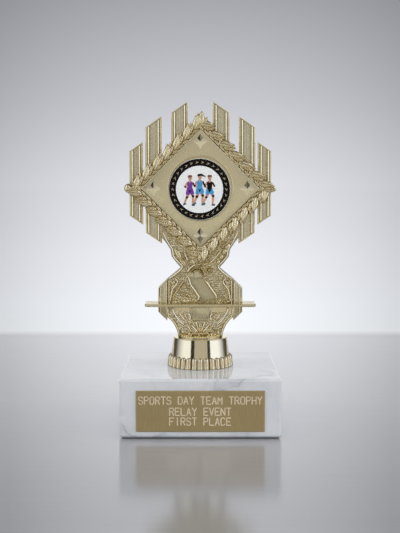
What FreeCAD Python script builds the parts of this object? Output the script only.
import FreeCAD, Part
import Sketcher
import os
import re

# Column trophy: marble block, fluted riser and a two-part gold holder for a one inch disc.
# Frame: millimetres, +Z up, front is -Y, origin at the centre of the underside of the felt pad.

# Driving dimensions. Each name is an alias in the sheet, each value is in millimetres or degrees.
DIMENSIONS = {
    # square marble block and the felt pad under it
    "block_width": 63.5,
    "block_height": 23.2,
    "block_bevel": 0.9,
    "felt_thick": 0.5,
    "felt_inset": 0.8,
    "felt_corner": 1.5,
    # clamp: rod, nuts and washers (M5)
    "rod_diameter": 5.0,
    "rod_bore": 5.6,
    "rod_bevel": 0.5,
    "rod_overhang": 1.6,
    "rod_drop": 0.4,
    "rod_headroom": 1.0,
    "nut_flats": 8.0,
    "nut_height": 4.7,
    "nut_bevel": 0.5,
    "washer_diameter": 10.0,
    "washer_thick": 1.0,
    "lock_diameter": 9.2,
    "lock_thick": 1.2,
    "lock_gap": 1.0,
    "washer_bore": 5.3,
    "clamp_bore": 13.0,
    "clamp_depth": 9.3,
    "cut_margin": 1.0,
    # riser
    "riser_height": 12.15,
    "riser_foot_radius": 12.95,
    "riser_top_radius": 11.2,
    "riser_wall": 1.3,
    "riser_roof": 1.8,
    "riser_boss_radius": 4.4,
    "riser_lip_radius": 11.45,
    "riser_lip_height": 0.55,
    "riser_lip_bevel": 0.2,
    "flute_count": 32,
    "flute_centre_radius": 12.6,
    "flute_radius": 1.15,
    "flute_top": 4.7,
    # holder: heights above the table
    "plate_centre": 97.6,
    "tray_top": 49.9,
    "tray_thick": 1.1,
    "foot_height": 1.05,
    # holder: depths from the joint plane between its two halves
    "bar_depth": 2.0,
    "ridge_rise": 0.5,
    "bed_depth": 2.2,
    "leaf_depth": 3.0,
    "plate_depth": 3.0,
    "plate_bevel": 0.3,
    "neck_depth": 2.4,
    "strap_depth": 3.2,
    "pillar_depth": 3.0,
    "body_depth": 5.4,
    "corbel_depth": 5.9,
    "tray_depth": 6.3,
    # holder: diamond plate, its garland bed and studs, as half diagonals and radii
    "plate_reach": 24.6,
    "bed_reach": 29.0,
    "recess_radius": 13.2,
    "recess_depth": 1.3,
    "stud_offset": 19.3,
    "stud_reach": 2.9,
    "stud_waist": 0.85,
    "stud_rise": 0.9,
    "stud_peak": 0.05,
    "stud_peak_waist": 0.035,
    # holder: garland leaves, laid along each side of the plate
    "leaf_count": 7,
    "leaf_pitch": 4.6,
    "leaf_shift": 1.5,
    "leaf_drop": 3.85,
    "leaf_length": 6.4,
    "leaf_bulge": 0.85,
    "leaf_turn": 25.0,
    "corner_leaf_start": 24.8,
    "corner_leaf_reach": 31.8,
    "corner_leaf_offset": 0.5,
    # holder: upright bars behind the plate
    "bar_slope": 0.69,
    "bar_edge": 0.95,
    "ridge_width": 0.7,
    "outer_bar_inside": 23.8,
    "outer_bar_outside": 29.3,
    "outer_bar_top": 116.7,
    "outer_bar_foot": 82.7,
    "middle_bar_inside": 16.0,
    "middle_bar_outside": 22.6,
    "middle_bar_top": 127.2,
    "middle_bar_foot": 74.9,
    "inner_bar_inside": 5.2,
    "inner_bar_outside": 11.9,
    "inner_bar_top": 133.2,
    "inner_bar_foot": 80.0,
    # holder: neck, lower pillars, tray, body and foot
    "neck_waist": 8.1,
    "neck_waist_height": 64.9,
    "neck_shoulder": 11.9,
    "neck_shoulder_height": 69.5,
    "neck_bend": 12.4,
    "neck_bend_height": 72.5,
    "neck_top": 14.5,
    "neck_top_height": 75.6,
    "neck_corner_height": 77.6,
    "pillar_inside": 13.8,
    "pillar_outside": 17.55,
    "pillar_top": 60.1,
    "pillar_foot": 42.6,
    "strap_width": 7.0,
    "strap_foot": 7.4,
    "strap_outer_corner": 12.2,
    "strap_outer_height": 71.6,
    "strap_inner_corner": 7.5,
    "strap_inner_height": 74.6,
    "tray_reach": 23.0,
    "tray_corner": 3.0,
    "body_foot": 9.3,
    "body_top": 12.2,
    "body_top_height": 43.2,
    "body_sweep": 0.5,
    "corbel_foot": 2.3,
    "corbel_top": 5.2,
    "corbel_foot_height": 42.5,
    "foot_radius": 9.35,
    # pocket for the captive nut, and the pegs that line up the two halves
    "nut_pocket_height": 40.2,
    "pocket_gap": 0.1,
    "peg_radius": 1.4,
    "peg_length": 1.5,
    "peg_gap": 0.08,
    # one inch disc, which rests low and to the left in its recess
    "disc_radius": 12.7,
    "disc_drop": 0.35,
    "disc_shift": 0.3,
    "disc_thick": 0.4,
    "disc_glue_radius": 12.2,
    "disc_glue_thick": 0.25,
    "dome_radius": 12.6,
    "dome_edge": 0.45,
    "dome_rise": 0.5,
    "dome_bulge": 0.125,
    # engraved plaque on the front of the block
    "plaque_width": 50.3,
    "plaque_height": 16.25,
    "plaque_thick": 0.5,
    "plaque_foot": 3.0,
    "tape_thick": 0.3,
    "tape_inset": 0.4,
}

NAME = re.compile(r"\b[a-z]+_[a-z_]+\b")

doc = FreeCAD.newDocument("column_trophy")


# ---------------------------------------------------------------- sheet and helpers

def make_sheet():
    """Spreadsheet with one aliased number in each row."""
    table = doc.addObject("Spreadsheet::Sheet", "sizes")
    for row, (alias, value) in enumerate(DIMENSIONS.items(), start=1):
        table.set("A%d" % row, alias)
        table.set("B%d" % row, str(value))
        table.setAlias("B%d" % row, alias)
    doc.recompute()
    return table


sheet = make_sheet()


def formula(text):
    """Turn plain alias names into references to the sheet."""
    return NAME.sub(lambda found: "sizes." + found.group(0), str(text))


def number(text):
    """Value of a formula, used to place geometry before its constraints hold it."""
    result = sheet.evalExpression(formula(text))
    return float(getattr(result, "Value", result))


def bind(feature, **properties):
    """Tie properties of a feature to formulas over the sheet."""
    for name, text in properties.items():
        feature.setExpression(name, formula(text))


def new_body(label):
    body = doc.addObject("PartDesign::Body", label)
    body.Label = label
    return body


def new_sketch(body, name, plane, offset="0", centre_height="0", sideways="0"):
    """Sketch on an origin plane, moved along its normal, and up or sideways in the plane."""
    sketch = body.newObject("Sketcher::SketchObject", name)
    support = [item for item in body.Origin.OriginFeatures if item.Role == plane][0]
    sketch.AttachmentSupport = [(support, "")]
    sketch.MapMode = "FlatFace"
    sketch.setExpression("AttachmentOffset.Base.x", formula(sideways))
    sketch.setExpression("AttachmentOffset.Base.y", formula(centre_height))
    sketch.setExpression("AttachmentOffset.Base.z", formula(offset))
    return sketch


def pin_point(sketch, element, end, corner):
    """Hold one end of an element at a corner given as two formulas."""
    for kind, text in zip(("DistanceX", "DistanceY"), corner):
        held = Sketcher.Constraint(kind, -1, 1, element, end, number(text))
        index = sketch.addConstraint(held)
        sketch.setExpression("Constraints[%d]" % index, formula(text))


def point_at(corner):
    return FreeCAD.Vector(number(corner[0]), number(corner[1]), 0)


def ends_that_meet(sketch, element, following, used):
    """Ends of two neighbouring elements that share a place and aren't joined yet."""
    for end in (2, 1):
        for start in (1, 2):
            gap = sketch.getPoint(element, end) - sketch.getPoint(following, start)
            if gap.Length < 1e-6 and (element, end) not in used and (following, start) not in used:
                return end, start
    raise ValueError("elements don't meet in " + sketch.Name)


def hold_radius(sketch, element, corner, following, bulge):
    """Radius of the arc that stands off the chord between two corners by the bulge."""
    chord = "((%s) - (%s)) ^ 2 + ((%s) - (%s)) ^ 2" % (following[0], corner[0], following[1], corner[1])
    radius = "((%s) / 4 + (%s) ^ 2) / (2 * abs(%s))" % (chord, bulge, bulge)
    index = sketch.addConstraint(Sketcher.Constraint("Radius", element, number(radius)))
    sketch.setExpression("Constraints[%d]" % index, formula(radius))


def add_outline(sketch, corners, bulges=None):
    """Closed outline through corners given as pairs of formulas, all held by the sheet.

    A stretch is straight unless bulges names it: then it is an arc that stands off its chord by
    that much, to the right of the way round when the bulge is positive.
    """
    bulges = bulges or {}
    followers = corners[1:] + corners[:1]
    elements = []
    for place, (corner, following) in enumerate(zip(corners, followers)):
        start = point_at(corner)
        finish = point_at(following)
        shape = Part.LineSegment(start, finish)
        if place in bulges:
            along = (finish - start).normalize()
            right = FreeCAD.Vector(along.y, -along.x, 0)
            shape = Part.Arc(start, (start + finish) / 2 + right * number(bulges[place]), finish)
        elements.append(sketch.addGeometry(shape, False))
    used = set()
    for place, element in enumerate(elements):
        following = elements[(place + 1) % len(elements)]
        end, start = ends_that_meet(sketch, element, following, used)
        sketch.addConstraint(Sketcher.Constraint("Coincident", element, end, following, start))
        used.update([(element, end), (following, start)])
        pin_point(sketch, following, start, followers[place])
        if place in bulges:
            hold_radius(sketch, element, corners[place], followers[place], bulges[place])


def add_circle(sketch, radius, centre=("0", "0")):
    circle = Part.Circle(point_at(centre), FreeCAD.Vector(0, 0, 1), number(radius))
    element = sketch.addGeometry(circle, False)
    pin_point(sketch, element, 3, centre)
    index = sketch.addConstraint(Sketcher.Constraint("Radius", element, number(radius)))
    sketch.setExpression("Constraints[%d]" % index, formula(radius))


def add_rectangle(sketch, left, right, low, high):
    add_outline(sketch, [(left, low), (right, low), (right, high), (left, high)])


def add_round_top(sketch, radius, top):
    """Half of a round-topped post, to be turned about the vertical axis."""
    spring = "%s - %s" % (top, radius)
    sagitta = "%s * (1 - sqrt(0.5))" % radius
    add_outline(sketch, [("0", "0"), (radius, "0"), (radius, spring), ("0", top)], {2: sagitta})


def add_diamond(sketch, reach):
    add_outline(sketch, [(reach, "0"), ("0", reach), ("-" + reach, "0"), ("0", "-" + reach)])


def add_hexagon(sketch, flats):
    """Hexagon with two corners on the X axis, so two flats face front and rear."""
    corner = "(%s) / sqrt(3)" % flats
    half = "(%s) / sqrt(3) / 2" % flats
    flat = "(%s) / 2" % flats
    add_outline(sketch, [
        (corner, "0"), (half, flat), ("-" + half, flat),
        ("-" + corner, "0"), ("-" + half, "-" + flat), (half, "-" + flat),
    ])


def pad(body, sketch, length, turned=False):
    feature = body.newObject("PartDesign::Pad", sketch.Name + "_pad")
    feature.Profile = sketch
    feature.Reversed = turned
    bind(feature, Length=length)
    body.Tip = feature
    return feature


def pocket(body, sketch, length, turned=False):
    """Cut into the body. The volume is compared, because a cut that points away removes nothing."""
    doc.recompute()
    volume_before = body.Shape.Volume
    feature = body.newObject("PartDesign::Pocket", sketch.Name + "_cut")
    feature.Profile = sketch
    feature.Reversed = turned
    bind(feature, Length=length)
    body.Tip = feature
    doc.recompute()
    if body.Shape.Volume >= volume_before - 1e-6:
        raise ValueError("nothing was removed by " + feature.Name)
    return feature


def revolve(body, sketch):
    """Full turn about the sketch's vertical axis."""
    feature = body.newObject("PartDesign::Revolution", sketch.Name + "_turn")
    feature.Profile = sketch
    feature.ReferenceAxis = (sketch, ["V_Axis"])
    feature.Angle = 360
    body.Tip = feature
    return feature


def repeat_round(body, feature, axis_sketch, count):
    """Copies of a feature round the normal of a sketch."""
    pattern = body.newObject("PartDesign::PolarPattern", feature.Name + "_round")
    pattern.Originals = [feature]
    pattern.Axis = (axis_sketch, ["N_Axis"])
    pattern.Angle = 360
    bind(pattern, Occurrences=count)
    body.Tip = pattern
    return pattern


def dress_edges(body, kind, edges, **sizes):
    """Chamfer or fillet on the named edges of the body as it stands."""
    base = body.Tip
    feature = body.newObject("PartDesign::" + kind, body.Name + "_" + kind.lower())
    feature.Base = (base, edges)
    bind(feature, **sizes)
    body.Tip = feature
    return feature


def edges_where(shape, test):
    """Names of the edges whose middle point passes a test."""
    names = []
    for index, edge in enumerate(shape.Edges, start=1):
        middle = edge.valueAt((edge.FirstParameter + edge.LastParameter) / 2)
        if test(middle):
            names.append("Edge%d" % index)
    return names


# ---------------------------------------------------------------- block, felt and plaque

def make_marble_base():
    """Block with bevelled edges, a through bore and a counterbore for the clamp."""
    body = new_body("marble_base")
    outline = new_sketch(body, "block_outline", "XY_Plane", "felt_thick")
    add_rectangle(outline, "-block_width / 2", "block_width / 2", "-block_width / 2", "block_width / 2")
    pad(body, outline, "block_height")
    doc.recompute()
    dress_edges(body, "Chamfer", edges_where(body.Shape, lambda point: True), Size="block_bevel")
    bore = new_sketch(body, "block_bore", "XY_Plane", "felt_thick + block_height")
    add_circle(bore, "rod_bore / 2")
    pocket(body, bore, "block_height")
    counterbore = new_sketch(body, "block_counterbore", "XY_Plane", "felt_thick + clamp_depth")
    add_circle(counterbore, "clamp_bore / 2")
    pocket(body, counterbore, "clamp_depth")
    return body


def make_base_felt():
    """Thin pad over the whole underside, with rounded corners."""
    body = new_body("base_felt")
    outline = new_sketch(body, "felt_outline", "XY_Plane")
    half = "(block_width / 2 - felt_inset)"
    add_rectangle(outline, "-" + half, half, "-" + half, half)
    pad(body, outline, "felt_thick")
    doc.recompute()
    middle_height = number("felt_thick") / 2
    upright = edges_where(body.Shape, lambda point: abs(point.z - middle_height) < 0.01)
    dress_edges(body, "Fillet", upright, Radius="felt_corner")
    return body


def make_front_sheet(label, inset, thick, front_offset):
    """Thin upright rectangle on the front of the block, for the plaque and its tape."""
    body = new_body(label)
    outline = new_sketch(body, label + "_outline", "XZ_Plane", front_offset)
    half = "(plaque_width / 2 - %s)" % inset
    low = "plaque_foot + %s" % inset
    high = "plaque_foot + plaque_height - %s" % inset
    add_rectangle(outline, "-" + half, half, low, high)
    pad(body, outline, thick)
    return body


# ---------------------------------------------------------------- rod, nuts and washers

CLAMP_CEILING = "(felt_thick + clamp_depth)"
LOCK_TOP = "(felt_thick + clamp_depth - washer_thick)"
NUT_TOP = "(felt_thick + clamp_depth - washer_thick - lock_thick)"
ROD_FOOT = "(felt_thick + clamp_depth - washer_thick - lock_thick - nut_height - rod_drop)"
RISER_FOOT = "(felt_thick + block_height)"
HOLDER_FOOT = "(felt_thick + block_height + riser_height)"


def make_nut(label, foot):
    """Hexagon nut with bevelled corners. Its bore meets the rod."""
    body = new_body(label)
    outline = new_sketch(body, label + "_outline", "XY_Plane", foot)
    add_hexagon(outline, "nut_flats")
    pad(body, outline, "nut_height")
    bore = new_sketch(body, label + "_bore", "XY_Plane", foot + " + nut_height")
    add_circle(bore, "rod_diameter / 2")
    pocket(body, bore, "nut_height")
    corner = "(nut_flats / sqrt(3))"
    profile = new_sketch(body, label + "_bevel", "XZ_Plane", "0", foot)
    flat = corner + " - nut_bevel"
    outside = corner + " + cut_margin"
    fall = "(nut_bevel + cut_margin) / 2"
    add_outline(profile, [(flat, "0"), (outside, "0"), (outside, fall)])
    add_outline(profile, [(flat, "nut_height"), (outside, "nut_height"), (outside, "nut_height - " + fall)])
    cut = body.newObject("PartDesign::Groove", label + "_corners")
    cut.Profile = profile
    cut.ReferenceAxis = (profile, ["V_Axis"])
    cut.Angle = 360
    body.Tip = cut
    return body


def make_washer(label, foot, radius, thick, gap=None):
    """Flat ring, split by a narrow gap when it is a lock washer."""
    body = new_body(label)
    ring = new_sketch(body, label + "_ring", "XY_Plane", foot)
    add_circle(ring, radius)
    add_circle(ring, "washer_bore / 2")
    pad(body, ring, thick)
    if gap:
        slit = new_sketch(body, label + "_slit", "XY_Plane", "%s + %s" % (foot, thick))
        add_rectangle(slit, "0", radius + " + cut_margin", "-%s / 2" % gap, "%s / 2" % gap)
        pocket(body, slit, thick)
    return body


def make_threaded_rod():
    """Rod from under the base nut to just above the captive nut."""
    body = new_body("threaded_rod")
    outline = new_sketch(body, "rod_outline", "XY_Plane", ROD_FOOT)
    add_circle(outline, "rod_diameter / 2")
    pad(body, outline, "nut_pocket_height + nut_height + rod_overhang - %s" % ROD_FOOT)
    doc.recompute()
    ends = edges_where(body.Shape, lambda point: point.x < 0)
    dress_edges(body, "Chamfer", ends, Size="rod_bevel")
    return body


# ---------------------------------------------------------------- riser

def make_riser():
    """Hollow cone with a lipped roof, a boss for the rod and a ring of round-topped flutes."""
    body = new_body("riser")
    section = new_sketch(body, "riser_section", "XZ_Plane", "0", RISER_FOOT)
    roof = "(riser_height - riser_roof)"
    lip_foot = "(riser_height - riser_lip_height)"
    add_outline(section, [
        ("riser_foot_radius - riser_wall", "0"),
        ("riser_foot_radius", "0"),
        ("riser_top_radius", lip_foot),
        ("riser_lip_radius", lip_foot + " + riser_lip_bevel"),
        ("riser_lip_radius", "riser_height - riser_lip_bevel"),
        ("riser_lip_radius - riser_lip_bevel", "riser_height"),
        ("rod_bore / 2", "riser_height"),
        ("rod_bore / 2", "0"),
        ("riser_boss_radius", "0"),
        ("riser_boss_radius", roof),
        ("riser_top_radius - riser_wall", roof),
    ])
    revolve(body, section)
    half_rib = new_sketch(body, "flute_section", "XZ_Plane", "0", RISER_FOOT, "flute_centre_radius")
    add_round_top(half_rib, "flute_radius", "flute_top")
    flute = revolve(body, half_rib)
    centre = new_sketch(body, "flute_centre", "XY_Plane", RISER_FOOT)
    repeat_round(body, flute, centre, "flute_count")
    return body


# ---------------------------------------------------------------- holder halves

BARS = ("outer_bar", "middle_bar", "inner_bar")
SIDES = ("", "-")


def bar_outline(bar, side, inset="0"):
    """Corners of an upright bar whose ends slope down and up towards the outside."""
    inside = "(%s_inside + %s)" % (bar, inset)
    outside = "(%s_outside - %s)" % (bar, inset)
    fall = "((%s_outside - %s_inside - %s) * bar_slope)" % (bar, bar, inset)
    near = "(%s * bar_slope)" % inset
    top = "%s_top - plate_centre" % bar
    foot = "%s_foot - plate_centre" % bar
    return [
        (side + inside, "%s + %s" % (foot, near)), (side + outside, "%s + %s" % (foot, fall)),
        (side + outside, "%s - %s" % (top, fall)), (side + inside, "%s - %s" % (top, near)),
    ]


def add_bar_ridge(sketch, bar, side, near_edge):
    """Narrow raised strip along one long edge of a bar, kept inside its sloping ends."""
    if near_edge == "inside":
        left = "(%s_inside + bar_edge)" % bar
    else:
        left = "(%s_outside - bar_edge - ridge_width)" % bar
    right = "(%s + ridge_width)" % left
    low = "%s_foot - plate_centre + bar_edge + (%s - %s_inside) * bar_slope" % (bar, right, bar)
    high = "%s_top - plate_centre - bar_edge - (%s - %s_inside) * bar_slope" % (bar, right, bar)
    add_outline(sketch, [(side + left, low), (side + right, low), (side + right, high), (side + left, high)])


def add_leaf(sketch, start, finish):
    """Leaf outline: two equal arcs between its base and its tip."""
    add_outline(sketch, [start, finish], {0: "leaf_bulge", 1: "leaf_bulge"})


def add_garland_side(sketch):
    """Leaves along the upper right side of the plate, each turned outwards from it."""
    step = "leaf_pitch * sqrt(0.5)"
    heading = "(45 - leaf_turn)"
    top = "(plate_reach + bed_reach) / 2 - leaf_drop"
    for index in range(int(number("leaf_count"))):
        across = "leaf_shift + %d * %s" % (index, step)
        up = "%s - %d * %s" % (top, index, step)
        tip = ("%s + leaf_length * cos(%s)" % (across, heading), "%s - leaf_length * sin(%s)" % (up, heading))
        add_leaf(sketch, (across, up), tip)
    add_leaf(sketch, ("corner_leaf_start", "corner_leaf_offset"), ("corner_leaf_reach", "corner_leaf_offset"))


def add_star(sketch, reach, waist):
    """Four-pointed star centred above the plate's middle by the stud offset."""
    corners = []
    for across, up in ((1, 0), (0, 1), (-1, 0), (0, -1)):
        corners.append(("%d * (%s)" % (across, reach), "stud_offset + %d * (%s)" % (up, reach)))
        inner_across = across - up
        inner_up = up + across
        corners.append(("%d * (%s)" % (inner_across, waist), "stud_offset + %d * (%s)" % (inner_up, waist)))
    add_outline(sketch, corners)


def mirrored_outline(half):
    """Closed outline from its right half, listed from the bottom up."""
    left = [("-(%s)" % across, up) for across, up in reversed(half)]
    return half + left


def make_holder_half(label, rear):
    """Half of the holder moulding. Every depth is measured from the joint plane outwards."""
    body = new_body(label)
    outwards = "-1" if rear else "1"

    def upright(name, depth="0", centre="plate_centre"):
        return new_sketch(body, label + "_" + name, "XZ_Plane", "%s * (%s)" % (outwards, depth), centre)

    def level(name, height):
        return new_sketch(body, label + "_" + name, "XY_Plane", height)

    def raised(sketch, depth):
        return pad(body, sketch, depth, rear)

    add_upper_holder(body, upright, raised)
    add_lower_holder(body, upright, level, raised, rear)
    cut_disc_recess(body, upright, rear)
    cut_foot_hollows(body, level)
    join_halves(body, upright, rear)
    return body


def add_upper_holder(body, upright, raised):
    """Garland bed, bars with their ridges, diamond plate, leaves and star studs."""
    bed = upright("bed")
    add_diamond(bed, "bed_reach")
    raised(bed, "bed_depth")
    outlines = upright("bars")
    ridges = upright("bar_ridges")
    for bar in BARS:
        for side in SIDES:
            add_outline(outlines, bar_outline(bar, side))
            add_bar_ridge(ridges, bar, side, "inside")
            add_bar_ridge(ridges, bar, side, "outside")
    raised(outlines, "bar_depth")
    raised(ridges, "bar_depth + ridge_rise")
    plate = upright("plate")
    add_diamond(plate, "plate_reach")
    raised(plate, "plate_depth - plate_bevel")
    edge = upright("plate_edge", "plate_depth - plate_bevel")
    add_diamond(edge, "plate_reach")
    raised(edge, "plate_bevel").TaperAngle = -45
    garland = upright("garland")
    add_garland_side(garland)
    repeat_round(body, raised(garland, "leaf_depth"), garland, "4")
    base = upright("stud_base", "plate_depth - plate_bevel")
    add_star(base, "stud_reach", "stud_waist")
    peak = upright("stud_peak", "plate_depth + stud_rise")
    add_star(peak, "stud_peak", "stud_peak_waist")
    stud = body.newObject("PartDesign::AdditiveLoft", body.Name + "_stud")
    stud.Profile = base
    stud.Sections = [peak]
    stud.Ruled = True
    body.Tip = stud
    repeat_round(body, stud, base, "4")


def add_lower_holder(body, upright, level, raised, rear):
    """Neck with its crossed straps, pillars, tray, body and round foot."""
    neck = upright("neck", "0", "0")
    add_outline(neck, mirrored_outline([
        ("pillar_inside", "tray_top - tray_thick"), ("pillar_inside", "pillar_top"),
        ("neck_waist", "neck_waist_height"), ("neck_shoulder", "neck_shoulder_height"),
        ("neck_bend", "neck_bend_height"), ("neck_top", "neck_top_height"),
        ("middle_bar_inside", "neck_corner_height"),
        ("middle_bar_inside", "plate_centre - bed_reach + middle_bar_inside"),
    ]))
    raised(neck, "neck_depth")
    for side, hand in zip(SIDES, ("right", "left")):
        strap = upright("strap_" + hand, "0", "0")
        add_outline(strap, [
            (side + "strap_foot", "tray_top"), (side + "(strap_foot - strap_width)", "tray_top"),
            (side + "(-strap_outer_corner)", "strap_outer_height"),
            (side + "(-strap_inner_corner)", "strap_inner_height"),
        ])
        raised(strap, "strap_depth")
        pillar = upright("pillar_" + hand, "0", "0")
        slope = "(pillar_outside - pillar_inside)"
        add_outline(pillar, [
            (side + "pillar_inside", "pillar_foot"), (side + "pillar_outside", "pillar_foot + " + slope),
            (side + "pillar_outside", "pillar_top - " + slope), (side + "pillar_inside", "pillar_top"),
        ])
        raised(pillar, "pillar_depth")
    add_tray(body, level, rear)
    trunk = upright("trunk", "0", "0")
    add_trunk(trunk)
    raised(trunk, "body_depth")
    corbel = upright("corbel", "0", "0")
    add_outline(corbel, mirrored_outline([
        ("corbel_foot", "corbel_foot_height"), ("corbel_top", "tray_top - tray_thick")]))
    raised(corbel, "corbel_depth")
    foot = level("foot", HOLDER_FOOT)
    add_half_disc(foot, "foot_radius", rear)
    pad(body, foot, "foot_height")


def add_tray(body, level, rear):
    """Thin level shelf with bevelled corners, half of it on each side of the joint plane."""
    outward = "" if rear else "-"
    shelf = level("tray", "tray_top - tray_thick")
    add_outline(shelf, [
        ("-tray_reach", "0"), ("tray_reach", "0"),
        ("tray_reach", outward + "(tray_depth - tray_corner)"),
        ("tray_reach - tray_corner", outward + "tray_depth"),
        ("tray_corner - tray_reach", outward + "tray_depth"),
        ("-tray_reach", outward + "(tray_depth - tray_corner)"),
    ])
    pad(body, shelf, "tray_thick")


def add_trunk(sketch):
    """Front outline of the body under the tray, with its sides swept inwards by arcs."""
    corners = mirrored_outline([
        ("body_foot", HOLDER_FOOT), ("body_top", "body_top_height"),
        ("pillar_inside", "tray_top - tray_thick")])
    add_outline(sketch, corners, {0: "-body_sweep", 4: "-body_sweep"})


def add_half_disc(sketch, radius, rear):
    """Half disc whose straight side lies on the joint plane."""
    outward = "" if rear else "-"
    bulge = "%s * (1 - sqrt(0.5))" % radius
    corners = [("-" + radius, "0"), ("0", outward + radius), (radius, "0")]
    signed = "-" + bulge if rear else bulge
    add_outline(sketch, corners, {0: signed, 1: signed})


def cut_disc_recess(body, upright, rear):
    """Round recess in the plate that takes the disc."""
    recess = upright("recess", "plate_depth")
    add_circle(recess, "recess_radius")
    pocket(body, recess, "recess_depth", rear)


def cut_foot_hollows(body, level):
    """Bore for the rod from below, and the hexagon pocket that traps the captive nut."""
    bore = level("bore", HOLDER_FOOT)
    add_circle(bore, "rod_bore / 2")
    pocket(body, bore, "nut_pocket_height + nut_height + rod_overhang + rod_headroom - " + HOLDER_FOOT, True)
    nut_room = level("nut_pocket", "nut_pocket_height + nut_height + pocket_gap")
    add_hexagon(nut_room, "(nut_flats + 2 * pocket_gap)")
    pocket(body, nut_room, "nut_height + 2 * pocket_gap")


PEG_PLACES = (("0", "stud_offset"), ("stud_offset", "0"), ("-stud_offset", "0"), ("0", "-stud_offset"))


def join_halves(body, upright, rear):
    """Pegs on the rear half, and the sockets that they enter in the front half."""
    places = upright("pegs")
    for place in PEG_PLACES:
        add_circle(places, "peg_radius" if rear else "peg_radius + peg_gap", place)
    if rear:
        pad(body, places, "peg_length")
    else:
        pocket(body, places, "peg_length + peg_gap", True)


# ---------------------------------------------------------------- disc

RECESS_FLOOR = "plate_depth - recess_depth"
DISC_HEIGHT = "plate_centre - disc_drop"


def make_round_sheet(label, radius, thick, front_offset):
    """Thin upright disc in the recess."""
    body = new_body(label)
    outline = new_sketch(body, label + "_outline", "XZ_Plane", front_offset, DISC_HEIGHT, "-disc_shift")
    add_circle(outline, radius)
    pad(body, outline, thick)
    return body


def make_disc_dome():
    """Clear cover: a straight rim, then a shallow cap of a sphere."""
    body = new_body("disc_dome")
    back = "(%s + disc_glue_thick + disc_thick)" % RECESS_FLOOR
    rim = "%s - dome_edge" % ("-" + back)
    section = new_sketch(body, "dome_section", "XY_Plane", DISC_HEIGHT, "0", "-disc_shift")
    add_outline(section, [
        ("0", "-" + back), ("0", rim + " - dome_rise"), ("dome_radius", rim), ("dome_radius", "-" + back),
    ], {1: "dome_bulge"})
    revolve(body, section)
    return body


def main():
    bodies = [
        make_marble_base(),
        make_base_felt(),
        make_front_sheet("plaque_adhesive", "tape_inset", "tape_thick", "block_width / 2"),
        make_front_sheet("plaque_plate", "0", "plaque_thick", "block_width / 2 + tape_thick"),
        make_nut("base_nut", NUT_TOP + " - nut_height"),
        make_nut("captive_nut", "nut_pocket_height"),
        make_washer("plain_washer", LOCK_TOP, "washer_diameter / 2", "washer_thick"),
        make_washer("lock_washer", NUT_TOP, "lock_diameter / 2", "lock_thick", "lock_gap"),
        make_threaded_rod(),
        make_riser(),
        make_holder_half("holder_front", False),
        make_holder_half("holder_rear", True),
        make_round_sheet("disc_adhesive", "disc_glue_radius", "disc_glue_thick", RECESS_FLOOR),
        make_round_sheet("centre_disc", "disc_radius", "disc_thick", RECESS_FLOOR + " + disc_glue_thick"),
        make_disc_dome(),
    ]
    doc.recompute()
    for item in doc.Objects:
        if "Invalid" in item.State or "Error" in item.State:
            raise ValueError("%s is in state %s" % (item.Name, item.State))
    os.makedirs("parts", exist_ok=True)
    for body in bodies:
        shape = body.Shape
        if shape.isNull() or not shape.isValid():
            raise ValueError(body.Label + " has no valid shape")
        box = shape.BoundBox
        print("%-16s solids %d volume %9.1f  X %.2f..%.2f Y %.2f..%.2f Z %.2f..%.2f" % (
            body.Label, len(shape.Solids), shape.Volume,
            box.XMin, box.XMax, box.YMin, box.YMax, box.ZMin, box.ZMax))
        shape.exportStep("parts/%s.step" % body.Label)


main()
